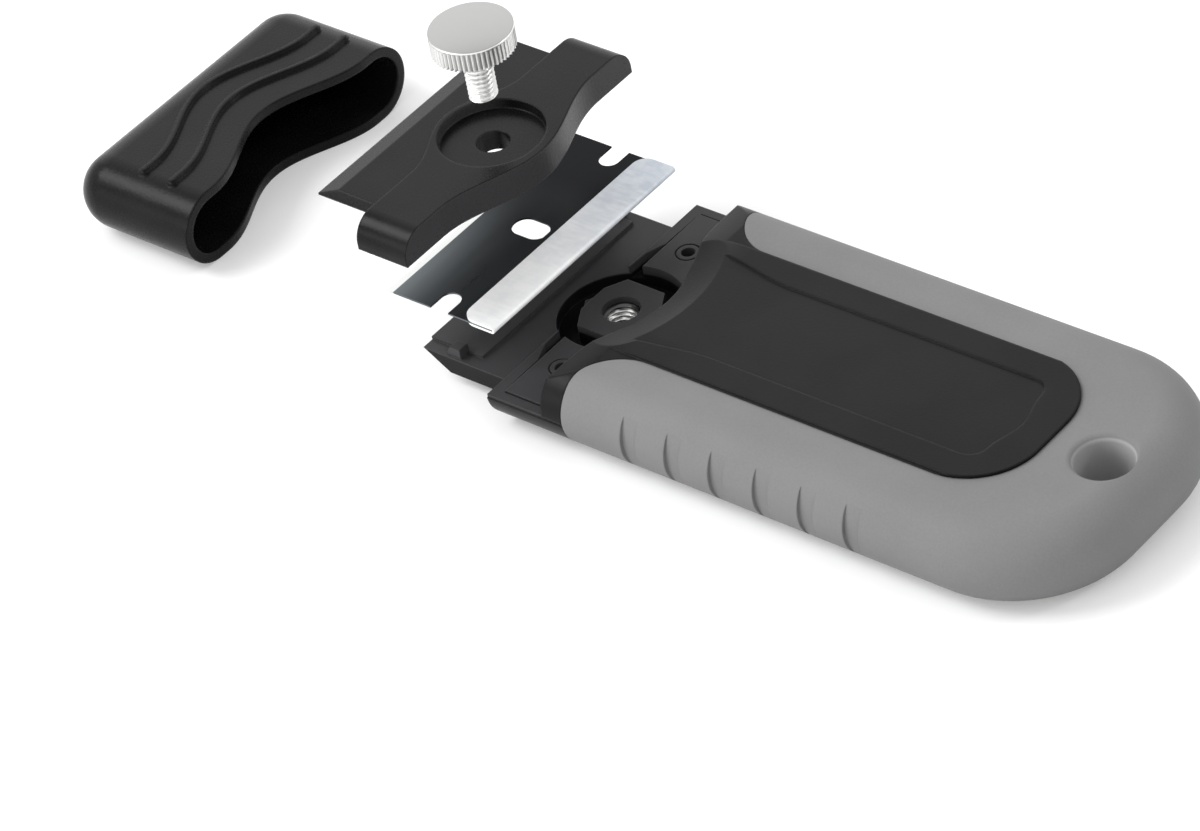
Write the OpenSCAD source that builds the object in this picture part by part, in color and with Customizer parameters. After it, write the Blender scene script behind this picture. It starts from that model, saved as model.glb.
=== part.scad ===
// Razor blade scraper, laid out the way it comes apart for a blade change.
// Origin: the axis of the clamp screw, on the table. +X runs back along the
// handle, +Y across it, +Z up. Every loose piece is drawn in its seated place
// and then moved out along the one straight path that it travels.

/* [Blade] */
// Length of the blade along its cutting edge
blade_length = 38.1; // [34:0.1:40]
// Depth of the blade from the cutting edge to the back of its spine
blade_depth = 18.2; // [17:0.1:19.5]
// Thickness of the steel strip
blade_thick = 0.25; // [0.2:0.01:0.4]
// Width of the ground bevel behind the cutting edge
edge_grind = 1.1; // [0.5:0.1:2]
// Depth of the folded spine along the handle
spine_depth = 5.6; // [5:0.1:6]
// Thickness of the folded spine
spine_thick = 1; // [0.9:0.05:1.2]
// Radius of the two front corners of the spine
spine_corner = 2; // [0.5:0.1:2.5]
// Width of the notch in each end of the blade
notch_width = 3; // [2.6:0.1:3.6]
// Depth of the notch in each end of the blade
notch_depth = 3.8; // [3.4:0.1:4.4]
// Distance from the cutting edge to the middle of the notches and the slot
notch_from_edge = 8.9; // [8.5:0.1:9.3]
// Length of the slot in the middle of the blade
slot_length = 5.6; // [4:0.1:6]
// Width of the slot in the middle of the blade
slot_width = 3.6; // [3:0.1:3.9]

/* [Handle] */
// Width of the handle across the grip
handle_width = 44.8; // [44:0.1:50]
// Thickness of the handle at the grip
handle_thick = 11.4; // [11:0.1:13]
// Distance from the screw axis to the rear end of the handle
handle_rear = 85.2; // [83:0.1:110]
// Place along the handle where the soft grip starts
grip_front = 8; // [7.5:0.1:10]
// Thickness of the soft grip over the hard core
grip_wall = 2.2; // [1.5:0.1:3]
// Radius of the inner front corner of each grip arm
grip_corner = 7.5; // [5:0.1:8]
// Radius of the two rear corners of the handle
rear_round = 17.5; // [16:0.1:21.5]
// Number of finger grooves on each side
groove_count = 6; // [3:1:7]
// Distance from one finger groove to the next
groove_pitch = 7.05; // [5:0.05:7.2]
// Width of one finger groove
groove_width = 2.4; // [1.5:0.1:3.5]
// Depth of one finger groove
groove_depth = 0.5; // [0.3:0.05:1.1]
// Place of the first finger groove on the left side
groove_left = 17.7; // [14:0.1:22]
// Place of the first finger groove on the right side
groove_right = 14.7; // [14:0.1:22]
// Radius of the hole that the scraper hangs from
hang_radius = 3.9; // [2.5:0.1:4]
// Distance from the rear end of the handle to the middle of the hang hole
hang_inset = 8; // [7.8:0.1:9.5]
// Radius of the soft lip round the hang hole
hang_lip = 0.9; // [0.5:0.1:1.2]

/* [Top cover] */
// Width of the hard cover between the grip arms
cover_width = 25.2; // [24:0.1:28]
// Distance from the rear end of the handle to the rear edge of the cover
cover_inset = 15.6; // [15:0.1:20]
// Radius of the two rear corners of the cover
cover_corner = 9.5; // [3:0.1:11]
// Height of the cover above the islands of the nose
cover_rise = 6.1; // [5.9:0.1:6.6]
// Place of the front edge of the cover beside its bulge
cover_front = 4.6; // [4.2:0.1:5]
// How far the front edge bulges back round the screw
cover_bulge = 4.2; // [3.8:0.1:4.6]
// Width of the sunk thumb panel at its rear
panel_width = 16.3; // [12:0.1:17]
// How far each side of the panel flares out at its front
panel_flare = 1.7; // [0:0.1:2.2]
// Depth of the sunk thumb panel
panel_depth = 0.3; // [0.2:0.05:0.8]
// Distance from the rear edge of the panel to the rear edge of the cover
panel_inset = 4.6; // [4:0.1:7]
// Slope of the hollow in front of the panel, run over rise
hollow_run_share = 3.4; // [2.5:0.1:4]

/* [Nose] */
// Width of the tongue that carries the blade
tongue_width = 35.6; // [35:0.1:36.4]
// Distance from the screw axis to the tip of the tongue
tongue_reach = 19.4; // [18.6:0.1:20]
// Thickness of the tongue
tongue_thick = 3.1; // [2.8:0.05:3.2]
// Length of the bevel under the tip of the tongue
tip_bevel = 4.2; // [2:0.1:5]
// How far each side of the shoulder stands in from the side of the grip
shoulder_step = 0.2; // [0:0.05:0.6]
// Distance from the screw axis forward to the shoulder
shoulder_front = 4.6; // [4.4:0.05:4.9]
// Height of the islands above the blade seat
island_step = 0.8; // [0.8:0.05:1]
// Distance from the screw axis forward to the islands
island_front = 2.8; // [2.4:0.1:3]
// Radius of the well round the hexagonal boss
well_radius = 8.7; // [8:0.1:9]
// Corner radius of the hexagonal boss
hex_radius = 6.2; // [5.6:0.1:6.4]
// Distance between the two screw bosses beside the hexagonal boss
boss_spacing = 26.8; // [25:0.1:28]

/* [Clamp] */
// Width of the thick bar of the clamp plate
bar_width = 46.6; // [44:0.1:47]
// Thickness of the bar
bar_thick = 4.4; // [4:0.05:4.6]
// Width of the thin front flange
flange_width = 38; // [36:0.1:38.4]
// Distance from the screw axis to the front edge of the flange
flange_reach = 14.1; // [13.6:0.1:14.6]
// Thickness of the flange
flange_thick = 1.2; // [1:0.05:1.4]
// Radius of the round recess for the screw head
recess_radius = 7.2; // [6.4:0.1:7.3]
// Depth of the round recess
recess_depth = 1.5; // [1:0.05:1.8]
// Radius of the knurled screw head
head_radius = 5.65; // [5:0.05:5.9]
// Height of the knurled screw head
head_height = 3.4; // [2.5:0.1:4]
// Number of flutes in the knurl
flute_count = 54; // [36:1:60]
// Radius of the threaded stud
stud_radius = 1.95; // [1.6:0.05:2.1]
// Length of the threaded stud below the head
stud_length = 7.7; // [6.5:0.1:7.7]

/* [Cap] */
// Width of the blade cap
cap_width = 45.8; // [45:0.1:47]
// Length of the blade cap from its closed end to its mouth
cap_length = 22.3; // [21.5:0.1:24]
// Thickness of the top and side walls of the cap
cap_wall = 1.4; // [1.1:0.05:1.5]
// Depth of the wave in the mouth of the cap
wave_depth = 5.2; // [4.8:0.1:5.4]
// Height of the two wavy ribs on the cap
rib_height = 0.6; // [0.2:0.05:0.7]
// Width of the two wavy ribs on the cap
rib_width = 1.3; // [0.8:0.05:1.5]

/* [Layout] */
// How far the cap is pulled off forward
cap_out = 56.3; // [50:0.1:80]
// How far the cap ends up to one side
cap_aside = 5.4; // [0:0.1:5.9]
// How far the clamp plate is lifted
plate_rise = 18.1; // [16:0.1:24]
// How far the clamp plate is carried forward as it lifts
plate_forward = 17.3; // [14:0.1:20]
// How far the blade is lifted
blade_rise = 8; // [7.8:0.1:10]
// How far the blade drifts to one side as it lifts
blade_aside = 0.6; // [0:0.1:1]
// How far the thumb screw is drawn out above the clamp plate
screw_rise = 14.9; // [12:0.1:20]

/* [Hidden] */
$fn = 64;

// Clearances between neighbours
cap_clear = 0.4;
cap_top_clear = 0.4;
seat_clear = 0.1;
wall_clear = 0.35;
shaft_clear = 0.05;
overrun = 1;

// Heights above the table, built up from the floor of the cap
seat_z = cap_wall + cap_clear + tongue_thick;
island_z = seat_z + island_step;
rim_drop = 0.15;
rim_z = island_z - rim_drop;
hex_drop = 0.3;
hex_z = island_z - hex_drop;
cover_z = island_z + cover_rise;
side_round = handle_thick / 2;
tongue_low_z = seat_z - tongue_thick;
shoulder_width = handle_width - 2 * shoulder_step;

// Spine and its channel
spine_low = (spine_thick - blade_thick) / 2;
channel_clear = 0.03;
channel_z = seat_z - spine_low - channel_clear;
spine_gap = 0.3;
spine_back_x = -shoulder_front - spine_gap;
edge_x = spine_back_x - blade_depth;
notch_x = edge_x + notch_from_edge;
step_clear = 0.15;
channel_front_x = spine_back_x - spine_depth - step_clear;
land_margin = 1.9;
land_half = tongue_width / 2 - land_margin;

// Nibs that the notches of the blade drop over
nib_height = 0.9;
nib_base = 2.2;
nib_top = 0.5;
nib_out = 0.3;
nib_half_in = blade_length / 2 - notch_depth + nib_out * 2;
nib_half_out = tongue_width / 2 - nib_out;
tip_land = 0.35;

// Nose plate, its well, its wedge gaps and its bosses
flange_lip = 0.45;
tray_z = rim_z - flange_lip;
nose_wall = 1.9;
pocket_half = shoulder_width / 2 - nose_wall;
nose_back_x = grip_front - seat_clear;
nose_length = shoulder_front + nose_back_x;
nose_floor_z = 2.2;
well_floor = 0.3;
well_floor_z = nose_floor_z + well_floor;
island_inset = 1.6;
island_half = shoulder_width / 2 - island_inset;
gap_depth = 1.9;
gap_wide = 1.7;
gap_shares = [[1, 0.12], [0.66, 0.2], [0.52, 0.85], [0.33, 1], [0, 1]];
parting_width = 0.25;
parting_depth = 0.45;
hex_hole = 2.6;
insert_radius = 2.8;
insert_sink = 1;
shell_floor = 0.6;
insert_low_z = shell_floor;
insert_top_z = hex_z - insert_sink;
boss_low_radius = 4.2;
boss_x = 0.8;
boss_ring = 1.8;
boss_line = 0.25;
boss_line_depth = 0.35;
boss_hole = 0.95;

// Housing screws
screw_head_radius = 1.9;
screw_head_height = 1.1;
screw_sink = 0.25;
screw_shank = boss_hole - shaft_clear;
screw_length = 2.1;

// Top cover
cover_half = cover_width / 2;
cover_rear_x = handle_rear - cover_inset;
cover_edge_step = 0.25;
cover_reach = 16;
lip_z = island_z + seat_clear + bar_thick;
hollow_center_x = -8;
hollow_foot_radius = cover_front + cover_bulge - hollow_center_x - seat_clear;
brow_back_x = 13.5;
brow_drop = cover_z - lip_z;
brow_run = brow_back_x - cover_front;
brow_radius = (brow_run * brow_run + brow_drop * brow_drop) / (2 * brow_drop);
panel_rear_x = cover_rear_x - panel_inset;
panel_front_x = 9;
panel_flare_reach = 14;
panel_corner = 2.5;
panel_bow = 1.2;

// Grip
rear_center_x = handle_rear - rear_round;
hang_x = handle_rear - hang_inset;
hang_sleeve = 1.5;
groove_fade = 2;

// Clamp plate
plate_low_z = island_z + seat_clear;
bar_top_z = plate_low_z + bar_thick;
flange_drop = 0.9;
flange_top_z = bar_top_z - flange_drop;
flange_bevel = 2.9;
flange_edge = 0.3;
side_bevel = 0.9;
pad_half = 14.5;
pad_inset = 1.6;
bar_front_x = -4.1;
bar_front_bulge = 3.9;
bar_front_reach = 11.5;
bar_rear_x = cover_front - wall_clear;
bar_round = 3.4;
curve_steps = 20;
corner_steps = 5;
recess_floor_z = bar_top_z - recess_depth;
plate_hole_clear = 0.3;
plate_hole = stud_radius + plate_hole_clear;
ridge_radius = 0.5;
ridge_rise = 0.3;
ridge_length = 3.6;
ridge_gap = 0.2;
ridge_x = bar_front_x - ridge_gap;
ridge_half = 16.1;

// Thumb screw
flute_depth = 0.32;
flute_margin = 0.06;
head_chamfer = 0.35;
stud_chamfer = 0.4;

// Cap
cap_floor = cap_wall;
cap_height = flange_top_z + cap_top_clear + cap_wall;
cap_mouth_x = -shoulder_front - spine_gap;
cap_front_x = cap_mouth_x - cap_length;
wave_reach = 16;
rib_reach = 18;
rib_first = 5.6;
rib_gap = 5.2;
rib_foot_share = 0.5;
rib_top_share = 0.6;
rib_dot = 0.75;

black = [0.16, 0.155, 0.16];
panel_black = [0.13, 0.125, 0.13];
grip_gray = [0.55, 0.55, 0.55];
silver = [0.78, 0.78, 0.77];
steel = [0.22, 0.25, 0.27];

// Smooth bump of height 1 at 0 that falls to 0 at the reach
function bump(y, reach) = abs(y) >= reach ? 0 : (1 + cos(180 * y / reach)) / 2;

// Points of a wavy edge across the handle, from -half to +half
function wavy(base, depth, reach, half) = concat(
    [[base, -half]],
    [for (i = [-curve_steps : curve_steps])
        let (y = reach * i / curve_steps) [base + depth * bump(y, reach), y]],
    [[base, half]]);

function reversed(points) = [for (i = [len(points) - 1 : -1 : 0]) points[i]];

// Section of a slab with half-round sides, drawn in Y and Z
module pill_section(half, thick) {
    translate([-(half - thick / 2), 0])
        square([2 * (half - thick / 2), thick]);
    for (side = [-1, 1])
        translate([side * (half - thick / 2), thick / 2])
            circle(r = thick / 2);
}

// Extrudes a Y-Z section along X between two places
module along_x(from, to) {
    translate([from, 0, 0])
        rotate([90, 0, 90])
            linear_extrude(to - from)
                children();
}

// Extrudes an X-Z profile across the handle
module across_y(half) {
    translate([0, half, 0])
        rotate([90, 0, 0])
            linear_extrude(2 * half)
                children();
}

// One side of that section, for turning or extruding round the rear
module half_pill(reach, thick) {
    square([reach - thick / 2, thick]);
    translate([reach - thick / 2, thick / 2])
        circle(r = thick / 2);
}

// The handle's outer form, or the same form with a skin taken off
module handle_form(skin, front) {
    half = handle_width / 2 - skin;
    thick = handle_thick - 2 * skin;
    bend = rear_round - skin;
    translate([0, 0, skin]) {
        along_x(front, rear_center_x)
            pill_section(half, thick);
        translate([rear_center_x, 0, 0]) {
            across_y(half - bend)
                half_pill(bend, thick);
            for (side = [-1, 1])
                translate([0, side * (half - bend), 0])
                    rotate([0, 0, side > 0 ? 0 : -90])
                        rotate_extrude(angle = 90)
                            half_pill(bend, thick);
        }
    }
}

// Plan of everything hard that shows between and in front of the grip arms
module cover_plan() {
    reach = handle_width;
    translate([-reach, -reach])
        square([reach + grip_front, 2 * reach]);
    difference() {
        translate([0, -cover_half])
            square([cover_rear_x, cover_width]);
        for (side = [-1, 1])
            translate([cover_rear_x - cover_corner, side * (cover_half - cover_corner)])
                difference() {
                    translate([0, side > 0 ? 0 : -cover_corner - overrun])
                        square([cover_corner + overrun, cover_corner + overrun]);
                    circle(r = cover_corner);
                }
    }
    for (side = [-1, 1])
        difference() {
            translate([grip_front, side > 0 ? cover_half : -cover_half - grip_corner])
                square(grip_corner);
            translate([grip_front + grip_corner, side * (cover_half + grip_corner)])
                circle(r = grip_corner);
        }
}

module ring_places() {
    for (side = [-1, 1])
        translate([boss_x, side * boss_spacing / 2, 0])
            children();
}

// Bottom tray of the handle with the hard core that the grip is moulded over
module lower_shell() {
    color(black)
        difference() {
            union() {
                difference() {
                    handle_form(grip_wall, grip_front);
                    translate([0, 0, tray_z])
                        linear_extrude(handle_thick)
                            cover_plan();
                }
                intersection() {
                    handle_form(0, -shoulder_front);
                    translate([0, 0, -overrun])
                        linear_extrude(tray_z + overrun)
                            cover_plan();
                }
            }
            translate([-shoulder_front - overrun, -pocket_half, nose_floor_z])
                cube([nose_length + overrun, 2 * pocket_half, handle_thick]);
            translate([0, 0, shell_floor])
                cylinder(r = boss_low_radius, h = handle_thick);
            ring_places() {
                translate([0, 0, -overrun])
                    cylinder(r = screw_head_radius + wall_clear,
                             h = overrun + screw_sink + screw_head_height);
                cylinder(r = boss_hole + wall_clear / 2, h = handle_thick);
            }
            translate([hang_x, 0, -overrun])
                cylinder(r = hang_radius + hang_sleeve, h = handle_thick + 2 * overrun);
            nose_edge_round();
        }
}

// Takes the sharp front edge off the underside of the nose
module nose_edge_round() {
    round = rim_z / 2;
    translate([-shoulder_front, 0, 0])
        across_y(handle_width)
            difference() {
                translate([-overrun, -overrun])
                    square([round + overrun, round + overrun]);
                translate([round, round])
                    circle(r = round);
            }
}

// Tongue, shoulder, islands and hexagonal boss in one moulding
module nose_plate() {
    color(black)
        difference() {
            union() {
                difference() {
                    nose_body();
                    wedge_gaps();
                    parting_lines();
                    nose_well();
                }
                hex_boss();
                translate([0, 0, insert_low_z])
                    cylinder(r = boss_low_radius, h = nose_floor_z);
            }
            translate([0, 0, insert_low_z - overrun])
                cylinder(r = insert_radius, h = insert_top_z - insert_low_z + overrun);
            translate([0, 0, insert_low_z])
                cylinder(r = hex_hole, h = handle_thick);
            ring_places() {
                translate([0, 0, island_z - boss_line_depth])
                    difference() {
                        cylinder(r = boss_ring, h = handle_thick);
                        cylinder(r = boss_ring - boss_line, h = handle_thick);
                    }
                translate([0, 0, -overrun])
                    cylinder(r = boss_hole, h = handle_thick);
            }
        }
}

// The moulding before its well, its gaps and its bores are taken out
module nose_body() {
    tongue();
    translate([-shoulder_front, -shoulder_width / 2, tray_z])
        cube([nose_length, shoulder_width, flange_lip]);
    translate([-shoulder_front, -pocket_half, nose_floor_z])
        cube([nose_length, 2 * pocket_half, rim_z - nose_floor_z]);
    translate([-island_front, -island_half, tray_z])
        cube([island_front + nose_back_x, 2 * island_half, island_z - tray_z]);
}

// Round well with a web left at its rear
module nose_well() {
    difference() {
        translate([0, 0, well_floor_z])
            cylinder(r = well_radius, h = handle_thick);
        translate([nose_back_x - nose_wall, -well_radius, 0])
            cube([well_radius, 2 * well_radius, hex_z]);
    }
}

// Hexagonal boss, with its front corner kept below the spine of the blade
module hex_boss() {
    step_x = spine_back_x + seat_clear;
    difference() {
        translate([0, 0, nose_floor_z])
            linear_extrude(hex_z - nose_floor_z)
                circle(r = hex_radius, $fn = 6);
        translate([step_x - hex_radius, -hex_radius, channel_z])
            cube([hex_radius, 2 * hex_radius, handle_thick]);
    }
}

// Blade seat: a raised land, a channel for the spine and a nib at each side
module tongue() {
    difference() {
        across_y(tongue_width / 2)
            polygon([[-tongue_reach, seat_z], [-tongue_reach, seat_z - tip_land],
                     [-tongue_reach + tip_bevel, tongue_low_z], [-shoulder_front, tongue_low_z],
                     [-shoulder_front, seat_z]]);
        translate([channel_front_x, -tongue_width, channel_z])
            cube([tongue_reach, 2 * tongue_width, tongue_thick]);
        for (side = [-1, 1])
            translate([-tongue_reach - overrun, side > 0 ? land_half : -land_half - tongue_width, channel_z])
                cube([tongue_reach, tongue_width, tongue_thick]);
    }
    for (side = [-1, 1])
        translate([notch_x, side * (nib_half_in + nib_half_out) / 2, 0])
            across_y((nib_half_out - nib_half_in) / 2)
                polygon([[-nib_base / 2, channel_z - nib_out],
                         [-nib_base / 2, seat_z + blade_thick],
                         [-nib_top, seat_z + blade_thick + nib_height],
                         [nib_base / 2, seat_z + blade_thick + nib_height],
                         [nib_base / 2, channel_z - nib_out]]);
}

// Thin lines that set the islands off from the shoulder at their two sides
module parting_lines() {
    for (side = [-1, 1])
        translate([-island_front, 0, rim_z - parting_depth])
            translate([0, side > 0 ? island_half : -island_half - parting_width])
                cube([island_front + grip_front, parting_width, handle_thick]);
}

// Clearance in front of the islands that widens towards the well
module wedge_gaps() {
    for (side = [-1, 1])
        translate([0, 0, rim_z - gap_depth])
            linear_extrude(handle_thick)
                polygon(concat(
                    [for (share = gap_shares)
                        [-island_front - gap_wide * share[1], side * island_half * share[0]]],
                    [[-island_front, 0]]));
}

module threaded_insert() {
    color(silver)
        difference() {
            translate([0, 0, insert_low_z])
                cylinder(r = insert_radius, h = insert_top_z - insert_low_z);
            translate([0, 0, -overrun])
                cylinder(r = stud_radius + shaft_clear, h = handle_thick);
        }
}

// Two self-tapping screws that pull the nose plate into the lower shell
module housing_screws() {
    color(silver)
        ring_places() {
            difference() {
                translate([0, 0, screw_sink])
                    cylinder(r = screw_head_radius, h = screw_head_height);
                cylinder(r = screw_head_radius / 2, h = screw_sink + screw_head_height / 2, $fn = 6);
            }
            translate([0, 0, screw_sink + screw_head_height])
                cylinder(r = screw_shank, h = screw_length);
        }
}

// Hard top shell with the scoop round the screw and the sunk thumb panel
module top_cover() {
    color(panel_black)
        difference() {
            union() {
                intersection() {
                    handle_form(0, -shoulder_front);
                    translate([0, 0, rim_z])
                        linear_extrude(handle_thick)
                            cover_plan();
                }
                translate([grip_front, 0, rim_z])
                    linear_extrude(cover_z - rim_z)
                        translate([-grip_front, 0])
                            intersection() {
                                cover_plan();
                                translate([grip_front, -cover_half + cover_edge_step])
                                    square([handle_rear, cover_width - 2 * cover_edge_step]);
                            }
            }
            nose_pocket();
            cover_mouth();
            cover_brow();
            thumb_panel();
        }
}

// Room under the cover for the nose plate
module nose_pocket() {
    translate([-shoulder_front, -island_half, 0])
        cube([shoulder_front + grip_front, 2 * island_half, island_z]);
    translate([-shoulder_front, -pocket_half, 0])
        cube([nose_length, 2 * pocket_half, rim_z]);
}

// Upright front wall, bulged back round the screw, with a hollow for fingers
module cover_mouth() {
    rise = cover_z - lip_z + overrun;
    linear_extrude(2 * handle_thick)
        polygon(concat(
            wavy(cover_front, cover_bulge, cover_reach, handle_width),
            [[-handle_width, handle_width], [-handle_width, -handle_width]]));
    translate([hollow_center_x, 0, lip_z])
        cylinder(r1 = hollow_foot_radius, r2 = hollow_foot_radius + rise * hollow_run_share, h = rise);
}

// Front of the cover, curved down to the height of the clamp bar
module cover_brow() {
    difference() {
        translate([-handle_width, -handle_width, lip_z])
            cube([handle_width + brow_back_x, 2 * handle_width, handle_thick]);
        translate([brow_back_x, 0, cover_z - brow_radius])
            across_y(handle_width + overrun)
                circle(r = brow_radius, $fn = 200);
    }
}

// Sunk panel that opens into the curved front of the cover
module thumb_panel() {
    half = panel_width / 2;
    corner_x = panel_rear_x - panel_bow - panel_corner;
    sides = [for (i = [0 : curve_steps])
        let (along = panel_flare_reach * i / curve_steps)
            [panel_front_x + along, half + panel_flare * bump(along, panel_flare_reach)]];
    corner = [for (i = [corner_steps : -1 : 0])
        let (turn = 90 * i / corner_steps)
            [corner_x + panel_corner * cos(turn), half - panel_corner * (1 - sin(turn))]];
    rear = [for (i = [1 - corner_steps : corner_steps - 1])
        let (y = (half - panel_corner) * i / corner_steps)
            [panel_rear_x + panel_bow * (bump(y, half - panel_corner) - 1), y]];
    translate([0, 0, cover_z - panel_depth])
        linear_extrude(handle_thick)
            polygon(concat(
                [for (p = concat(sides, corner)) [p[0], -p[1]]],
                rear,
                reversed(concat(sides, corner))));
}

// Soft skin round both sides and the rear, with finger grooves and the hang hole
module soft_grip() {
    color(grip_gray)
        difference() {
            union() {
                difference() {
                    handle_form(0, grip_front);
                    handle_form(grip_wall, grip_front - overrun);
                    translate([0, 0, -overrun])
                        linear_extrude(handle_thick + 2 * overrun)
                            cover_plan();
                }
                translate([hang_x, 0, grip_wall])
                    cylinder(r = hang_radius + hang_sleeve, h = handle_thick - 2 * grip_wall);
            }
            grooves(-1, groove_left);
            grooves(1, groove_right);
            hang_hole();
        }
}

// Row of grooves that are deepest at the side and fade out above and below
module grooves(side, first) {
    half = handle_width / 2;
    for (i = [0 : groove_count - 1])
        along_x(first + i * groove_pitch, first + i * groove_pitch + groove_width)
            difference() {
                translate([side > 0 ? half - side_round : -half - overrun, -overrun])
                    square([side_round + overrun, handle_thick + 2 * overrun]);
                translate([0, -groove_fade])
                    pill_section(half - groove_depth, handle_thick + 2 * groove_fade);
            }
}

// Bore with a rounded lip at both faces
module hang_hole() {
    translate([hang_x, 0, -overrun])
        cylinder(r = hang_radius, h = handle_thick + 2 * overrun);
    for (face = [0, 1])
        translate([hang_x, 0, face * handle_thick])
            mirror([0, 0, face])
                rotate_extrude()
                    difference() {
                        translate([0, -overrun])
                            square([hang_radius + hang_lip, hang_lip + overrun]);
                        translate([hang_radius + hang_lip, hang_lip])
                            circle(r = hang_lip);
                    }
}

// Plan of the steel strip with its end notches and its slot
module blade_plan(back_x) {
    half = blade_length / 2;
    difference() {
        translate([edge_x, -half])
            square([back_x - edge_x, blade_length]);
        for (side = [-1, 1]) {
            translate([notch_x, side * (half - notch_depth + notch_width / 2)])
                circle(r = notch_width / 2);
            translate([notch_x - notch_width / 2,
                       side > 0 ? half - notch_depth + notch_width / 2 : -half - overrun])
                square([notch_width, notch_depth - notch_width / 2 + overrun]);
        }
        for (end = [-1, 1])
            translate([notch_x + end * (slot_length - slot_width) / 2, 0])
                circle(r = slot_width / 2);
        translate([notch_x - (slot_length - slot_width) / 2, -slot_width / 2])
            square([slot_length - slot_width, slot_width]);
    }
}

module blade_steel() {
    back_x = spine_back_x - spine_low;
    color(steel)
        translate([0, blade_aside, blade_rise])
            intersection() {
                translate([0, 0, seat_z])
                    linear_extrude(blade_thick)
                        blade_plan(back_x);
                across_y(blade_length)
                    polygon([[edge_x, seat_z + blade_thick / 2],
                             [edge_x + edge_grind, seat_z + blade_thick],
                             [back_x, seat_z + blade_thick], [back_x, seat_z],
                             [edge_x + edge_grind, seat_z]]);
            }
}

// Folded metal strip that stiffens the back of the blade
module blade_spine() {
    half = blade_length / 2;
    front_x = spine_back_x - spine_depth;
    color(silver)
        translate([0, blade_aside, seat_z - spine_low + blade_rise])
            difference() {
                union() {
                    linear_extrude(spine_thick) {
                        translate([front_x + spine_corner, -half])
                            square([spine_depth - spine_corner - spine_thick / 2, blade_length]);
                        translate([front_x, -half + spine_corner])
                            square([spine_depth - spine_thick / 2, blade_length - 2 * spine_corner]);
                        for (side = [-1, 1])
                            translate([front_x + spine_corner, side * (half - spine_corner)])
                                circle(r = spine_corner);
                    }
                    translate([spine_back_x - spine_thick / 2, 0, 0])
                        across_y(half)
                            translate([0, spine_thick / 2])
                                circle(r = spine_thick / 2);
                }
                translate([front_x - overrun, -blade_length, spine_low])
                    cube([spine_depth - spine_low + overrun, 2 * blade_length, blade_thick]);
            }
}

// Plan of the thick bar, bulged forward and back round the screw
module bar_plan() {
    half = bar_width / 2 + overrun;
    polygon(concat(
        wavy(bar_front_x, -bar_front_bulge, bar_front_reach, half),
        reversed(wavy(bar_rear_x, cover_bulge, cover_reach, half))));
}

module clamp_plate() {
    color(black)
        translate([-plate_forward, 0, plate_rise])
            difference() {
                union() {
                    clamp_bar();
                    clamp_flange();
                    clamp_pad();
                    snap_ridges();
                }
                translate([0, 0, recess_floor_z])
                    cylinder(r = recess_radius, h = bar_thick);
                cylinder(r = plate_hole, h = handle_thick * 2);
            }
}

// Bar with rounded ends
module clamp_bar() {
    half = bar_width / 2;
    intersection() {
        translate([0, 0, plate_low_z])
            linear_extrude(bar_thick)
                bar_plan();
        along_x(-handle_width, handle_width)
            translate([0, plate_low_z]) {
                translate([-(half - bar_round), 0])
                    square([2 * (half - bar_round), bar_thick]);
                translate([-half, 0])
                    square([2 * half, bar_thick - bar_round]);
                for (side = [-1, 1])
                    translate([side * (half - bar_round), bar_thick - bar_round])
                        circle(r = bar_round);
            }
    }
}

// Thin flange over the blade with a long bevel in front and short ones beside
module clamp_flange() {
    low_z = flange_top_z - flange_thick;
    half = flange_width / 2;
    intersection() {
        across_y(half)
            polygon([[-flange_reach, low_z], [-flange_reach, low_z + flange_edge],
                     [-flange_reach + flange_bevel, flange_top_z], [0, flange_top_z], [0, low_z]]);
        along_x(-flange_reach - overrun, overrun)
            polygon([[-half, low_z], [-half, low_z + flange_edge], [-half + side_bevel, flange_top_z],
                     [half - side_bevel, flange_top_z], [half, low_z + flange_edge], [half, low_z]]);
    }
}

// Pad under the flange that presses on the blade and on its spine
module clamp_pad() {
    press_z = seat_z + blade_thick + seat_clear;
    spine_top_z = seat_z - spine_low + spine_thick + seat_clear;
    across_y(pad_half)
        polygon([[-flange_reach + pad_inset, press_z], [channel_front_x - step_clear, press_z],
                 [channel_front_x - step_clear, spine_top_z], [bar_front_x, spine_top_z],
                 [bar_front_x, flange_top_z - flange_thick / 2],
                 [-flange_reach + pad_inset, flange_top_z - flange_thick / 2]]);
}

// Two short ridges that the mouth of the cap stops against
module snap_ridges() {
    for (side = [-1, 1])
        translate([ridge_x, side * ridge_half, flange_top_z + ridge_rise - ridge_radius]) {
            rotate([90, 0, 0])
                translate([0, 0, -ridge_length / 2])
                    cylinder(r = ridge_radius, h = ridge_length);
            translate([0, side * ridge_length / 2, 0])
                sphere(r = ridge_radius);
        }
}

// Round-topped flutes of the knurl, worked out tooth by tooth
module knurl_plan() {
    steps = 4;
    polygon([for (i = [0 : flute_count * steps - 1])
        let (turn = 360 * i / (flute_count * steps),
             dip = flute_depth * pow(abs(cos(turn * flute_count / 2)), 3))
            [(head_radius - dip) * cos(turn), (head_radius - dip) * sin(turn)]]);
}

module thumb_screw() {
    rim = head_radius - flute_depth - flute_margin;
    color(silver)
        translate([-plate_forward, 0, plate_rise + screw_rise + recess_floor_z + shaft_clear]) {
            cylinder(r1 = rim - head_chamfer, r2 = rim, h = head_chamfer);
            translate([0, 0, head_chamfer])
                linear_extrude(head_height - 2 * head_chamfer)
                    knurl_plan();
            translate([0, 0, head_height - head_chamfer])
                cylinder(r1 = rim, r2 = rim - head_chamfer, h = head_chamfer);
            translate([0, 0, -stud_length + stud_chamfer])
                cylinder(r = stud_radius, h = stud_length);
            translate([0, 0, -stud_length])
                cylinder(r1 = stud_radius - stud_chamfer, r2 = stud_radius, h = stud_chamfer);
        }
}

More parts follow.
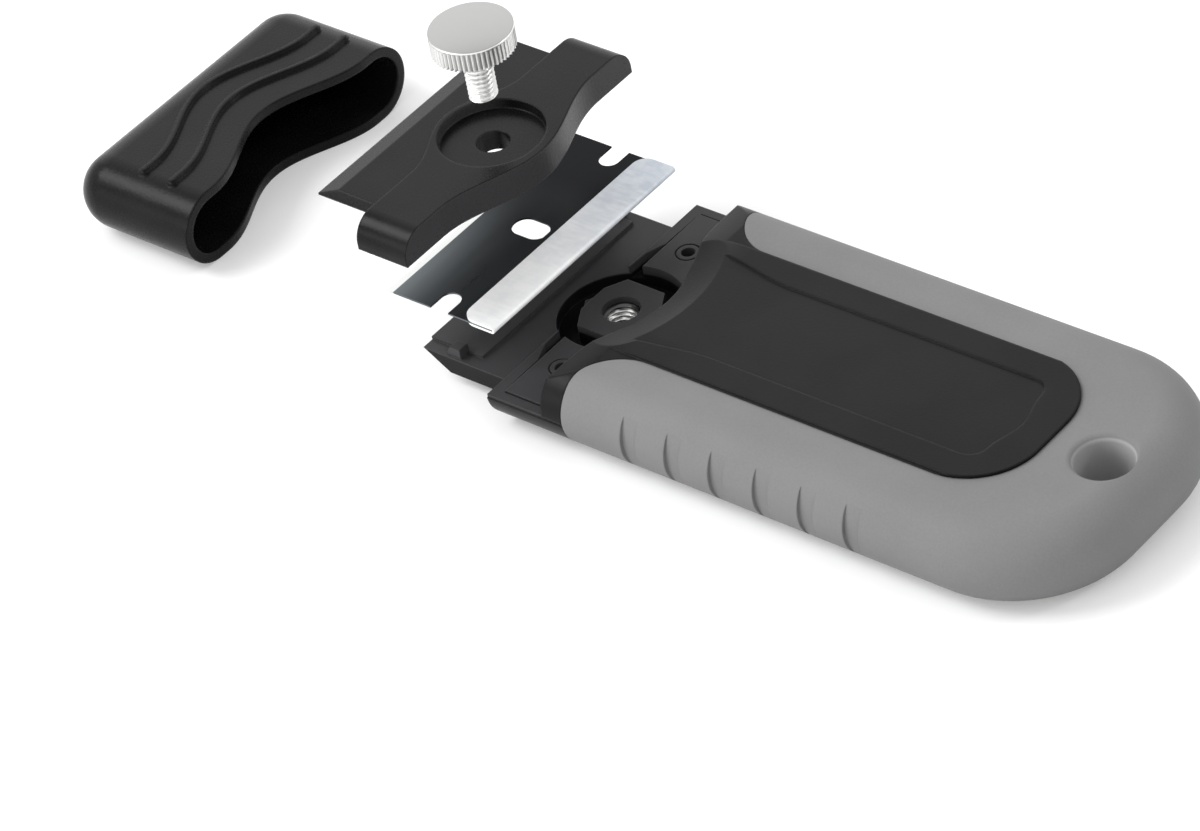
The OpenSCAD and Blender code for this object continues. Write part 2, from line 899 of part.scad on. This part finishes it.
// Slab with half-round sides and a half-round closed end, open at the mouth
module cap_form(front, mouth, half, low, thick) {
    round = thick / 2;
    translate([0, 0, low]) {
        translate([front + round, -(half - round), 0])
            cube([mouth - front - round, 2 * (half - round), thick]);
        translate([front + round, 0, round]) {
            for (side = [-1, 1])
                translate([0, side * (half - round), 0]) {
                    rotate([0, 90, 0])
                        cylinder(r = round, h = mouth - front - round);
                    sphere(r = round);
                }
            across_y(half - round)
                circle(r = round);
        }
    }
}

// Band that follows the wave of the mouth, for one level of a rib
module rib_plan(back, share) {
    half = rib_width / 2 * share;
    base = cap_mouth_x - back;
    polygon(concat(
        wavy(base - half, -wave_depth, wave_reach, rib_reach),
        reversed(wavy(base + half, -wave_depth, wave_reach, rib_reach))));
    for (side = [-1, 1])
        translate([base, side * rib_reach])
            circle(r = rib_dot * share);
}

// Rib in two levels, wide at its foot and narrow on top
module rib(back) {
    translate([0, 0, cap_height - cap_wall / 2]) {
        linear_extrude(cap_wall / 2 + rib_height * rib_foot_share)
            rib_plan(back, 1);
        linear_extrude(cap_wall / 2 + rib_height)
            rib_plan(back, rib_top_share);
    }
}

module blade_cap() {
    color(black)
        translate([-cap_out, cap_aside, 0])
            difference() {
                union() {
                    cap_form(cap_front_x, cap_mouth_x, cap_width / 2, 0, cap_height);
                    for (back = [rib_first, rib_first + rib_gap])
                        rib(back);
                }
                cap_form(cap_front_x + cap_wall, cap_mouth_x + overrun, cap_width / 2 - cap_wall,
                         cap_floor, cap_height - 2 * cap_wall);
                translate([0, 0, -overrun])
                    linear_extrude(cap_height + 2 * overrun)
                        polygon(concat(
                            wavy(cap_mouth_x, -wave_depth, wave_reach, cap_width),
                            [[cap_mouth_x + 2 * overrun, cap_width],
                             [cap_mouth_x + 2 * overrun, -cap_width]]));
            }
}

lower_shell();
nose_plate();
threaded_insert();
housing_screws();
top_cover();
soft_grip();
blade_steel();
blade_spine();
clamp_plate();
thumb_screw();
blade_cap();
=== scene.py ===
# %% [markdown]
# # A razor blade scraper, taken apart for a blade change
#
# The tool is a handle with a black nose, a blade that seats on the nose, a clamp plate that holds
# the blade down, a thumb screw that holds the plate, and a cap over the edge. The solids come from
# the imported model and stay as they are. This script gives each of them its real finish, cuts the
# screw threads that the solids leave plain, and sets the pieces on a white table under soft studio
# light, seen as in the product photograph.

# %% Load the model
from math import cos, floor, pi, radians, sin

import bpy
from mathutils import Matrix, Vector


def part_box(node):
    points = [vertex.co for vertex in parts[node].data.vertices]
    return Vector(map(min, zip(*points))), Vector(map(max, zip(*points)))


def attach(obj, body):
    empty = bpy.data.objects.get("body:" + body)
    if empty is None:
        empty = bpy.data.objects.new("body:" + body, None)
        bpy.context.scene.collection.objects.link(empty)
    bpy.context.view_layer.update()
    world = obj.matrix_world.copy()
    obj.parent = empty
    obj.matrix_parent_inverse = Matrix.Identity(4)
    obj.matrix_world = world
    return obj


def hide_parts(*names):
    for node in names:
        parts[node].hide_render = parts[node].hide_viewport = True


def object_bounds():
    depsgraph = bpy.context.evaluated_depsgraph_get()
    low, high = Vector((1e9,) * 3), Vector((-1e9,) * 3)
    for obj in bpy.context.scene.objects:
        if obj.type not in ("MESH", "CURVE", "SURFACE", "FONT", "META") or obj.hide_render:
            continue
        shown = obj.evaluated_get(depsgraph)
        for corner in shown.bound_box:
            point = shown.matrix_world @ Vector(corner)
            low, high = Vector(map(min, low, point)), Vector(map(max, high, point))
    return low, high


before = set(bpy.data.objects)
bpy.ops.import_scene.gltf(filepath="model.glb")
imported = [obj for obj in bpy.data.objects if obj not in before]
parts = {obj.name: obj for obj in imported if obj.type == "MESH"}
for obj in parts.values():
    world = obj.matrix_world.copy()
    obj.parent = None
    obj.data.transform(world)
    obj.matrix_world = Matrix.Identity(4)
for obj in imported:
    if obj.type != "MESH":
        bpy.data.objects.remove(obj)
cad_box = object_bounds()
MM = 0.001
print("pieces in the model:", ", ".join(sorted(parts)))

# %% [markdown]
# ## Camera
#
# The photograph was taken with a long lens from in front of the handle, about 39 degrees above
# the table, and it leans to one side. The camera could be turned by eye with three angles, but a
# look direction and an up direction are what the picture gives, and two cross products make the
# turn from them. The lens follows from the width of the sensor.

# %% Set up the camera
PHOTO_WIDTH = 1200
FOCAL_PIXELS = 5880
SENSOR_MM = 36
CAMERA_AT = Vector((427.3, -427.97, 474.8)) * MM
LOOK = Vector((-0.55552, 0.54666, -0.62656)).normalized()
UP = Vector((-0.3041, 0.5671, 0.7654))

right = LOOK.cross(UP).normalized()
level_up = right.cross(LOOK)
camera_data = bpy.data.cameras.new("photo_camera")
camera_data.sensor_fit = "HORIZONTAL"
camera_data.sensor_width = SENSOR_MM
camera_data.lens = FOCAL_PIXELS / PHOTO_WIDTH * SENSOR_MM
camera_data.clip_end = 20
camera = bpy.data.objects.new("photo_camera", camera_data)
bpy.context.scene.collection.objects.link(camera)
turn = Matrix((right, level_up, -LOOK)).transposed()
camera.matrix_world = Matrix.Translation(CAMERA_AT) @ turn.to_4x4()
bpy.context.scene.camera = camera
print("lens in mm:", round(camera_data.lens, 1))

# %% [markdown]
# ## Writing shaders as sums
#
# A finish is easier to read as `0.3 + 0.1 * grain` than as a web of nodes. This class wraps one
# socket. Its operators add the Math nodes, `mix` blends two colours with the wrapped value as the
# mask, `step` turns a value into a soft mask, and `node` adds any other node from its type, its
# settings and the values of its sockets.

# %% A socket that can be added and multiplied
class Wire:
    def __init__(self, tree, socket=None):
        self.tree = tree
        self.socket = socket

    def node(self, kind, settings, sockets, output=0):
        made = self.tree.nodes.new(kind)
        for name, value in settings.items():
            setattr(made, name, value)
        for key, value in sockets.items():
            if isinstance(value, Wire):
                self.tree.links.new(value.socket, made.inputs[key])
            else:
                made.inputs[key].default_value = value
        return Wire(self.tree, made.outputs[output])

    def math(self, operation, *values):
        return self.node("ShaderNodeMath", {"operation": operation}, dict(enumerate(values)))

    def mix(self, low, high):
        return self.node("ShaderNodeMix", {"data_type": "RGBA"}, {0: self, 6: low, 7: high}, 2)

    def step(self, start, end):
        sockets = {"Value": self, "From Min": start, "From Max": end}
        return self.node("ShaderNodeMapRange", {"interpolation_type": "SMOOTHSTEP"}, sockets)

    def root(self):
        return self.math("SQRT", self)

    def larger(self, other):
        return self.math("MAXIMUM", self, other)

    def __add__(self, other):
        return self.math("ADD", self, other)

    def __radd__(self, other):
        return self.math("ADD", other, self)

    def __sub__(self, other):
        return self.math("SUBTRACT", self, other)

    def __rsub__(self, other):
        return self.math("SUBTRACT", other, self)

    def __mul__(self, other):
        return self.math("MULTIPLY", self, other)

    def __rmul__(self, other):
        return self.math("MULTIPLY", other, self)

    def __abs__(self):
        return self.math("ABSOLUTE", self)


# %% [markdown]
# ## A blank finish
#
# Every finish starts the same way: a Principled shader, the place on the piece in metres, and the
# three axes of that place. The place could be read from the world, but then the grain would swim
# when a piece slides. It is read in the piece's own coordinates, so the grain stays with it.

# %% Start a finish
BEVEL_SAMPLES = 6


class Finish:
    def __init__(self, name, **constants):
        self.material = bpy.data.materials.new(name)
        self.material.use_nodes = True
        tree = self.material.node_tree
        self.shader = tree.nodes["Principled BSDF"]
        self.wire = Wire(tree)
        self.place = self.wire.node("ShaderNodeTexCoord", {}, {}, "Object")
        self.x, self.y, self.z = [self.axis(self.place, number) for number in range(3)]
        for socket, value in constants.items():
            self.shader.inputs[socket.replace("_", " ")].default_value = value

    def axis(self, vector, number):
        return self.wire.node("ShaderNodeSeparateXYZ", {}, {0: vector}, number)

    def grain(self, per_metre, detail=2.0, stretch=(1, 1, 1)):
        placed = self.wire.node("ShaderNodeMapping", {}, {"Vector": self.place, "Scale": stretch})
        sockets = {"Vector": placed, "Scale": per_metre, "Detail": detail}
        return self.wire.node("ShaderNodeTexNoise", {}, sockets)

    def set(self, **links):
        for socket, wire in links.items():
            self.wire.tree.links.new(wire.socket, self.shader.inputs[socket.replace("_", " ")])

    def relief(self, height, depth_mm, edge_mm=0.0):
        sockets = {"Height": height, "Distance": depth_mm * MM}
        if edge_mm:
            rounding = {"Radius": edge_mm * MM}
            sockets["Normal"] = self.wire.node("ShaderNodeBevel", {"samples": BEVEL_SAMPLES}, rounding)
        self.set(Normal=self.wire.node("ShaderNodeBump", {}, sockets))


def dress(name, finish):
    for slot in parts[name].material_slots:
        slot.material = finish.material
    print(name, "wears", finish.material.name)


# %% [markdown]
# ## Black moulded plastic
#
# The tray, the nose, the clamp plate and the cap are one black plastic, spark-eroded to a fine
# satin. It isn't quite black: the moulding is a dark warm grey with a faint cloudiness, and its
# edges are a little rounded, which is where the light catches. A Bevel node rounds the edges in
# the shading alone, so that the solids stay exact. On so dark a colour most of the look is gloss,
# so each piece has its own roughness, depth of texture and width of edge.

# %% The black plastic
BLACK_LOW = (0.0050, 0.0048, 0.0052, 1)
BLACK_HIGH = (0.0072, 0.0069, 0.0075, 1)
# Painted light: a paler black that a mask lays over the upper faces of the nose and the rear faces of
# the clamp plate.
PAINTED_LIGHT_BLACK = (0.043, 0.042, 0.044, 1)
BLACK_GLOSS = 0.112
GRIT_PER_METRE = 2600


def black_plastic(name, roughness, texture_mm, edge_mm, painted_light=None):
    finish = Finish(name, Specular_IOR_Level=BLACK_GLOSS)
    cloud = finish.grain(90)
    grit = finish.grain(GRIT_PER_METRE, 3.0)
    tone = cloud.step(0.35, 0.65).mix(BLACK_LOW, BLACK_HIGH)
    # A mask can paint light into the black as a paler tone.
    if painted_light:
        tone = painted_light(finish).mix(tone, PAINTED_LIGHT_BLACK)
    finish.set(Base_Color=tone)
    finish.set(Roughness=roughness + 0.10 * (cloud - 0.5) + 0.12 * (grit - 0.5))
    finish.relief(grit, texture_mm, edge_mm)
    return finish


dress("lower_shell", black_plastic("black_shell", 0.34, 0.014, 0.35))
dress("blade_cap", black_plastic("black_cap", 0.27, 0.020, 0.5))

# %% [markdown]
# ## Painted light on the plastic
#
# Two pieces have light painted into their colour as a paler black: the upper faces of the nose, on
# which the blade and the plate seat, are painted paler against the shade that those pieces cast,
# and the faces of the clamp plate that look towards the handle carry a painted reflection of the
# white table. This could be painted by hand, but a mask from the height on the piece, or from the
# direction of the surface, is exact and follows the form.

# %% The nose and the clamp plate
# Above this height the nose is painted paler, as painted light against the shade of the pieces over
# it.
PAINTED_LIGHT_FROM = 4.2 * MM
PAINTED_LIGHT_FULL = 4.45 * MM


def upper_faces(finish):
    return finish.z.step(PAINTED_LIGHT_FROM, PAINTED_LIGHT_FULL)


# Painted reflection on the faces that look towards the handle.
def rear_faces(finish):
    normal = finish.wire.node("ShaderNodeNewGeometry", {}, {}, "Normal")
    return finish.axis(normal, 0).step(0.3, 0.9)


dress("nose_plate", black_plastic("black_nose", 0.32, 0.012, 0.18, upper_faces))
dress("clamp_plate", black_plastic("black_plate", 0.28, 0.010, 0.4, rear_faces))

# %% [markdown]
# ## Top cover
#
# The cover is the same plastic, but its sunk thumb panel is polished smoother than the rim round
# it. The panel could be a second material on its own faces. A mask in the shape of the panel,
# worked out from the place on the piece, drops the roughness there with a soft border instead.

# %% The cover and its smoother panel
PANEL_HALF = 8.1 * MM
PANEL_FRONT = 14 * MM
PANEL_REAR = 64.8 * MM
FRONT_FADE = 4 * MM
SOFT_EDGE = 0.6 * MM
cover = Finish("black_cover", Specular_IOR_Level=0.105)
cover_cloud = cover.grain(70)
cover_grit = cover.grain(GRIT_PER_METRE, 3.0)
inside_width = 1 - abs(cover.y).step(PANEL_HALF - SOFT_EDGE, PANEL_HALF)
behind_front = cover.x.step(PANEL_FRONT - FRONT_FADE, PANEL_FRONT)
before_rear = 1 - cover.x.step(PANEL_REAR - SOFT_EDGE, PANEL_REAR)
panel = inside_width * behind_front * before_rear
cover.set(Base_Color=cover_cloud.step(0.35, 0.65).mix(BLACK_LOW, BLACK_HIGH))
cover.set(Roughness=0.38 + 0.10 * (cover_grit - 0.5) - 0.08 * panel)
cover.relief(cover_grit, 0.014, 0.45)
dress("top_cover", cover)

# %% [markdown]
# ## Soft grip
#
# The grip is a grey thermoplastic rubber. It has almost no gloss, and its colour is even, but a
# rubber skin always shows a fine dusty grain and slightly paler high spots. The wall of the hang
# hole is painted paler than the skin, as painted light against the shade inside the hole, and the
# distance from the middle of the hole picks it out.

# %% The grey rubber
GRIP_DARK = (0.176, 0.176, 0.176, 1)
GRIP_PALE = (0.200, 0.200, 0.200, 1)
# Painted light on the wall of the hang hole.
HOLE_PAINTED_LIGHT = (0.36, 0.36, 0.36, 1)
HOLE_X = 77.2 * MM
HOLE_WALL = 3.95 * MM
HOLE_SKIN = 4.15 * MM
grip = Finish("grey_rubber", Specular_IOR_Level=0.2)
grip_dust = grip.grain(60, 4.0)
grip_grit = grip.grain(3200)
from_hole = grip.x - HOLE_X
hole_reach = (from_hole * from_hole + grip.y * grip.y).root()
in_hole = 1 - hole_reach.step(HOLE_WALL, HOLE_SKIN)
rubber = (0.6 * grip_dust + 0.4 * grip_grit).step(0.3, 0.7).mix(GRIP_DARK, GRIP_PALE)
grip.set(Base_Color=in_hole.mix(rubber, HOLE_PAINTED_LIGHT))
grip.set(Roughness=0.62 + 0.15 * (grip_grit - 0.5))
grip.relief(grip_grit, 0.012, 0.35)
dress("soft_grip", grip)

# %% [markdown]
# ## Blade
#
# The blade is thin dark polished steel, almost black, with a painted reflection that turns it grey
# towards its near end, and the strip along its cutting edge is ground bright. Both are masks from
# the place on the blade, so that one material does the whole strip. Fine marks run across the blade
# from the rolling.

# %% Dark steel with a bright ground edge
# Painted reflection: the grey of the near end of the blade.
STEEL_REFLECTION = (0.126, 0.140, 0.149, 1)
STEEL_FAR = (0.0010, 0.0015, 0.0025, 1)
STEEL_GROUND = (0.62, 0.63, 0.62, 1)
GROUND_WIDTH = 1.1 * MM
DARK_FROM = 0.8
blade_low, blade_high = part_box("blade_steel")
blade_span = blade_high[1] - blade_low[1]
steel = Finish("dark_steel", Metallic=1.0)
# Painted reflection, fading from the near end into the dark steel.
blade_reflection = (steel.y - blade_low[1]).step(0, DARK_FROM * blade_span)
ground = 1 - steel.x.step(blade_low[0] + 0.9 * GROUND_WIDTH, blade_low[0] + GROUND_WIDTH)
marks = steel.grain(900, 2.0, (1, 0.05, 1))
steel.set(Base_Color=ground.mix(blade_reflection.mix(STEEL_REFLECTION, STEEL_FAR), STEEL_GROUND))
steel.set(Roughness=0.30 + 0.10 * (marks - 0.5) + 0.08 * ground)
steel.relief(marks, 0.002)
print("blade length in mm:", round(blade_span / MM, 1))
dress("blade_steel", steel)

# %% [markdown]
# ## Blade spine
#
# The spine is a folded strip of pale rolled metal, white at the near end and, as a painted
# reflection, bluer and darker towards the far one, with fine marks across its width and small dull
# patches. A metal shader would mirror the dark pieces over it, so this pale skin is made as a glossy
# white one, which keeps its colour in every view.

# %% Pale rolled spine
PALE_NEAR = (1.0, 1.0, 1.0, 1)
PALE_FAR = (0.68, 0.73, 0.79, 1)
DULL_NEAR = (0.90, 0.91, 0.92, 1)
DULL_FAR = (0.52, 0.57, 0.65, 1)
BLUE_FROM = 0.3
spine_low, spine_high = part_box("blade_spine")
spine = Finish("rolled_spine", Metallic=0.0, Specular_IOR_Level=0.8)
streaks = spine.grain(1500, 3.0, (0.3, 1, 1))
blotch = spine.grain(420, 3.0, (1, 0.6, 1))
patches = (0.5 * streaks + 0.5 * blotch).step(0.34, 0.66)
blue_start = (1 - BLUE_FROM) * spine_low[1] + BLUE_FROM * spine_high[1]
# Painted reflection, bluer and darker towards the far end of the spine.
spine_reflection = spine.y.step(blue_start, spine_high[1])
pale = spine_reflection.mix(PALE_NEAR, PALE_FAR)
dull = spine_reflection.mix(DULL_NEAR, DULL_FAR)
spine.set(Base_Color=patches.mix(dull, pale))
spine.set(Roughness=0.40 + 0.12 * (streaks - 0.5))
spine.relief(streaks, 0.006, 0.1)
dress("blade_spine", spine)

# %% [markdown]
# ## Painted shade on the plating
#
# The plating keeps its full tone on its edges and is painted darker in three places: painted shade
# on the flat turned top of the screw and in the valleys between the flutes, and a painted shadow at
# the mouth of the insert's bore, under the plastic round it. Each of these places is a mask, a
# small function of the finish and of the distance from the turning axis, so that one plating can
# take any of them.

# %% Masks on the turned pieces
screw_low, screw_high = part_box("thumb_screw")
insert_low, insert_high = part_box("threaded_insert")
SCREW_X = (screw_low[0] + screw_high[0]) / 2
SCREW_Y = (screw_low[1] + screw_high[1]) / 2
# Where shade is painted on the plating: the top face of the screw, the flute valleys and the mouth of
# the insert.
FACE_FROM = screw_high[2] - 0.08 * MM
FACE_FULL = FACE_FROM + 0.05 * MM
OUTSIDE_STUD = (2.75 * MM, 2.85 * MM)
FLUTE_WALL = (5.25 * MM, 5.55 * MM)
MOUTH = (insert_high[2] - 1.0 * MM, insert_high[2] - 0.6 * MM)


def in_flutes(finish, reach):
    return reach.step(*OUTSIDE_STUD) * (1 - reach.step(*FLUTE_WALL))


def on_face(finish, reach):
    return finish.z.step(FACE_FROM, FACE_FULL)


def at_mouth(finish, reach):
    return finish.z.step(*MOUTH)


print("screw axis in mm:", round(SCREW_X / MM, 1), round(SCREW_Y / MM, 1))

# %% [markdown]
# ## Nickel-plated metal
#
# The thumb screw, the threaded insert and the housing screws are turned and plated. Turning
# leaves fine rings round the axis. A wave texture would make them too regular, so the rings are
# noise that reads only the distance from the axis and the height.

# %% Satin nickel
WARMTH = 0.985
RING_SHINE = 1.12


def times(colour, factor):
    return [factor * part for part in colour[:3]] + [1]


def nickel(name, axis_x, axis_y, tone, painted_shade=()):
    finish = Finish(name, Metallic=1.0)
    out_x = finish.x - axis_x
    out_y = finish.y - axis_y
    reach = (out_x * out_x + out_y * out_y).root()
    ring_place = finish.wire.node("ShaderNodeCombineXYZ", {}, {0: reach, 2: finish.z})
    ring_sockets = {"Vector": ring_place, "Scale": 5200, "Detail": 3.0}
    rings = finish.wire.node("ShaderNodeTexNoise", {}, ring_sockets)
    base = (tone, tone, WARMTH * tone, 1)
    plating_and_shade = rings.step(0.3, 0.7).mix(base, times(base, RING_SHINE))
    # Each mask paints shade into the plating.
    for mask, factor in painted_shade:
        plating_and_shade = mask(finish, reach).mix(plating_and_shade, times(base, factor))
    finish.set(Base_Color=plating_and_shade)
    finish.set(Roughness=0.30 + 0.12 * (rings - 0.5))
    finish.relief(rings, 0.004, 0.12)
    return finish


# The factors set how dark the painted shade is.
screw_nickel = nickel("satin_nickel", SCREW_X, SCREW_Y, 0.76, [(in_flutes, 0.60), (on_face, 0.44)])
insert_nickel = nickel("insert_nickel", 0, 0, 0.80, [(at_mouth, 0.10)])
dress("housing_screws", nickel("zinc_screws", 0, 0, 0.45))

# %% [markdown]
# ## Turning a form on an axis
#
# A knurled head and a thread are both circles whose radius changes with the angle. The Screw
# modifier could sweep a profile, but it can't end a thread cleanly, so one helper makes both. It
# takes a list of rings, each a function from an angle to a radius and a height, and joins each
# ring to the next. A closed list joins the last ring to the first, as a tube has it. An open list
# gets a flat face at both ends.

# %% Lathe helper
SHARP_DEGREES = 32


def turned(name, rings, segments, at_x, at_y, closed=False):
    points = []
    for ring in rings:
        for i in range(segments):
            angle = 2 * pi * i / segments
            radius, height = ring(angle)
            points.append((at_x + radius * cos(angle), at_y + radius * sin(angle), height))
    faces = []
    count = len(rings)
    for r in range(count if closed else count - 1):
        low = r * segments
        high = (r + 1) % count * segments
        for i in range(segments):
            j = (i + 1) % segments
            faces.append((low + i, low + j, high + j, high + i))
    if not closed:
        faces.append(tuple(reversed(range(segments))))
        faces.append(tuple(range((count - 1) * segments, count * segments)))
    mesh = bpy.data.meshes.new(name)
    mesh.from_pydata(points, [], faces)
    mesh.validate()
    mesh.shade_smooth()
    mesh.set_sharp_from_angle(angle=radians(SHARP_DEGREES))
    piece = bpy.data.objects.new(name, mesh)
    bpy.context.scene.collection.objects.link(piece)
    print(name, "has", len(faces), "faces")
    return piece


# %% [markdown]
# ## Rings for a lathe
#
# A plain ring has the same radius all round. A thread is a stack of rings whose tooth moves on by
# one turn in each pitch. The tooth has flat crests and roots and straight flanks between them, as
# a cut metric thread has.

# %% Plain and threaded rings
PITCH = 0.7 * MM
RINGS_PER_TURN = 7


def still(radius, height):
    return lambda angle: (radius, height)


def thread(crest, root, height):
    def ring(angle):
        turn_share = height / PITCH - angle / (2 * pi)
        share = turn_share - floor(turn_share)
        tooth = min(1, max(0, 1.25 - 2 * abs(2 * share - 1)))
        return root + (crest - root) * tooth, height
    return ring


# %% [markdown]
# ## Thumb screw
#
# The head is a disc with straight flutes round its side and a plain chamfer at both faces, and
# the stud below it has a fine metric thread. The solid has the head but a smooth stud. A thread
# could be faked with a bump, but its outline shows against the plate, so this turned piece with a
# real thread stands in for the solid.

# %% Sizes of the thumb screw
FLUTES = 54
SEGMENTS = FLUTES * 8
HEAD_R = (screw_high[0] - screw_low[0]) / 2
HEAD_TOP = screw_high[2]
HEAD_H = 3.4 * MM
FLUTE_DEPTH = 0.42 * MM
VALLEY_R = HEAD_R - FLUTE_DEPTH
CHAMFER = 0.35 * MM
PLAIN_RIM = 0.30 * MM
FLUTE_RUNOUT = 0.12 * MM
STUD_R = 1.95 * MM
ROOT_R = 1.58 * MM
POINT_R = 0.75 * ROOT_R
POINT_H = 0.3 * MM
PLAIN_NECK = 0.5 * MM
head_foot = HEAD_TOP - HEAD_H
rim_foot = HEAD_TOP - PLAIN_RIM
stud_foot = screw_low[2]
print("head across in mm:", round(2 * HEAD_R / MM, 2))

# %% [markdown]
# ## The screw's rings
#
# The rings are listed from the point of the stud up: the point, the thread, the plain neck, the
# lower chamfer, the flutes, and the plain rim with its small rounding. A flute is a dip that is
# narrow at its bottom, which leaves a broad crest between two flutes.

# %% Turn the thumb screw
def knurl(height):
    def ring(angle):
        dip = FLUTE_DEPTH * abs(cos(angle * FLUTES / 2)) ** 3
        return HEAD_R - dip, height
    return ring


thread_start = stud_foot + POINT_H + 0.05 * MM
thread_end = head_foot - PLAIN_NECK
steps = int((thread_end - thread_start) / PITCH * RINGS_PER_TURN)
rise = (thread_end - thread_start) / steps
stud = [still(POINT_R, stud_foot), still(ROOT_R, stud_foot + POINT_H)]
stud += [thread(STUD_R, ROOT_R, thread_start + rise * i) for i in range(steps + 1)]
stud += [still(ROOT_R, thread_end + 0.1 * MM), still(ROOT_R, head_foot)]
head = [still(VALLEY_R - CHAMFER, head_foot), still(VALLEY_R, head_foot + 0.8 * CHAMFER)]
head += [knurl(head_foot + CHAMFER), knurl(rim_foot - FLUTE_RUNOUT)]
head += [still(HEAD_R, rim_foot), still(HEAD_R, HEAD_TOP - 0.4 * CHAMFER)]
head += [still(HEAD_R - 0.15 * CHAMFER, HEAD_TOP - 0.1 * CHAMFER)]
head += [still(HEAD_R - 0.5 * CHAMFER, HEAD_TOP)]
thumb = turned("thumb_screw_turned", stud + head, SEGMENTS, SCREW_X, SCREW_Y)
thumb.data.materials.append(screw_nickel.material)
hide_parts("thumb_screw")
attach(thumb, "thumb_screw")

# %% [markdown]
# ## Threaded insert
#
# A plated insert is pressed into the hexagonal boss, and a few bright turns of its thread show in
# the hole. The solid has a plain bore. The same rings as on the stud, wider, make the thread of
# this tube, and because it is a tube its rings close on themselves.

# %% Turn the insert
INSERT_R = (insert_high[0] - insert_low[0]) / 2
INSERT_CHAMFER = 0.15 * MM
BORE_CREST = 2.0 * MM
BORE_ROOT = 2.34 * MM
BORE_FLARE = BORE_ROOT + 0.05 * MM
BORE_LEAD = 0.2 * MM
BORE_SEGMENTS = 72
foot, top = insert_low[2], insert_high[2]
bore_steps = int((top - foot) / PITCH * RINGS_PER_TURN)
bore_drop = (top - foot - BORE_LEAD - 0.05 * MM) / bore_steps
tube = [still(INSERT_R, foot), still(INSERT_R, top - INSERT_CHAMFER)]
tube += [still(INSERT_R - INSERT_CHAMFER, top), still(BORE_FLARE, top)]
for i in range(bore_steps + 1):
    tube.append(thread(BORE_CREST, BORE_ROOT, top - BORE_LEAD - bore_drop * i))
tube.append(still(BORE_FLARE, foot))
insert = turned("threaded_insert_turned", tube, BORE_SEGMENTS, 0, 0, closed=True)
insert.data.materials.append(insert_nickel.material)
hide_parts("threaded_insert")
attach(insert, "handle")

# %% [markdown]
# ## Table
#
# The pieces lie on a white sweep, and the photograph shows almost no shadow. More light would
# burn out the pale pieces, so the floor is a pale surface with a little light of its own, which
# only the camera, gloss and clear plastic see. That lifts the open floor to white and keeps the
# soft shadows.

# %% White floor
SEEN_RAYS = ("Is Camera Ray", "Is Glossy Ray", "Is Transmission Ray")
TABLE_HALF = 3.0
TABLE_GAP = 0.05 * MM
TABLE_PALE = (0.82, 0.82, 0.82, 1)
OWN_LIGHT = (0.18, 0.18, 0.18, 1)


def looked_at(wire):
    camera_ray, glossy, clear = [wire.node("ShaderNodeLightPath", {}, {}, kind) for kind in SEEN_RAYS]
    return camera_ray.larger(glossy).larger(clear)


table_mesh = bpy.data.meshes.new("white_table")
left, near, far = -TABLE_HALF, -TABLE_HALF, TABLE_HALF
corners = [(left, near, 0), (-left, near, 0), (-left, far, 0), (left, far, 0)]
table_mesh.from_pydata(corners, [], [(0, 1, 2, 3)])
table = bpy.data.objects.new("white_table", table_mesh)
table.location.z = cad_box[0][2] - TABLE_GAP
bpy.context.scene.collection.objects.link(table)
white = Finish("white_table", Roughness=0.9, Specular_IOR_Level=0.0, Emission_Strength=1.0)
white.shader.inputs["Base Color"].default_value = TABLE_PALE
white.set(Emission_Color=looked_at(white.wire).mix((0, 0, 0, 1), OWN_LIGHT))
table.data.materials.append(white.material)
print("table at z in mm:", round(table.location.z / MM, 2))

# %% [markdown]
# ## Light tent
#
# A white tent gives most of the light. It lights the pieces at a plain level, a little under
# full, and shows as pure white where the camera or a mirror surface looks at it.

# %% World
TENT = 0.80
world = bpy.data.worlds.new("light_tent")
bpy.context.scene.world = world
world.use_nodes = True
sky = Wire(world.node_tree)
background = world.node_tree.nodes["Background"]
tent_light = TENT + (1 - TENT) * looked_at(sky)
world.node_tree.links.new(tent_light.socket, background.inputs["Strength"])
background.inputs["Color"].default_value = (1, 1, 1, 1)
print("tent strength:", TENT)

# %% [markdown]
# ## Soft boxes
#
# The shapes of the black pieces show by what they mirror. The back box lies along the upper faces,
# the left box along the rounded near sides, the right box on the edges that look to the rear, and
# the front box on the sides under them. Each is an area lamp that looks at the origin of the model.

# %% Lamps
MIDDLE = Vector((0, 0, 0))


def soft_box(name, at, size, watts):
    lamp = bpy.data.lights.new(name, "AREA")
    lamp.shape = "RECTANGLE"
    lamp.size, lamp.size_y = size
    lamp.energy = watts
    holder = bpy.data.objects.new(name, lamp)
    holder.location = at
    holder.rotation_euler = (MIDDLE - Vector(at)).to_track_quat("-Z", "Y").to_euler()
    bpy.context.scene.collection.objects.link(holder)
    print(name, "at", at, "with", watts, "W")


soft_box("back_box", (-1.0, 0.90, 0.75), (1.5, 1.3), 4.8)
soft_box("left_box", (-0.70, -0.44, 0.94), (0.6, 0.6), 9.0)
soft_box("right_box", (0.85, 0.72, 0.75), (0.25, 0.25), 2.5)
soft_box("front_box", (-0.30, -1.0, 0.28), (0.9, 0.4), 3.6)
bpy.context.scene.view_settings.view_transform = "Standard"
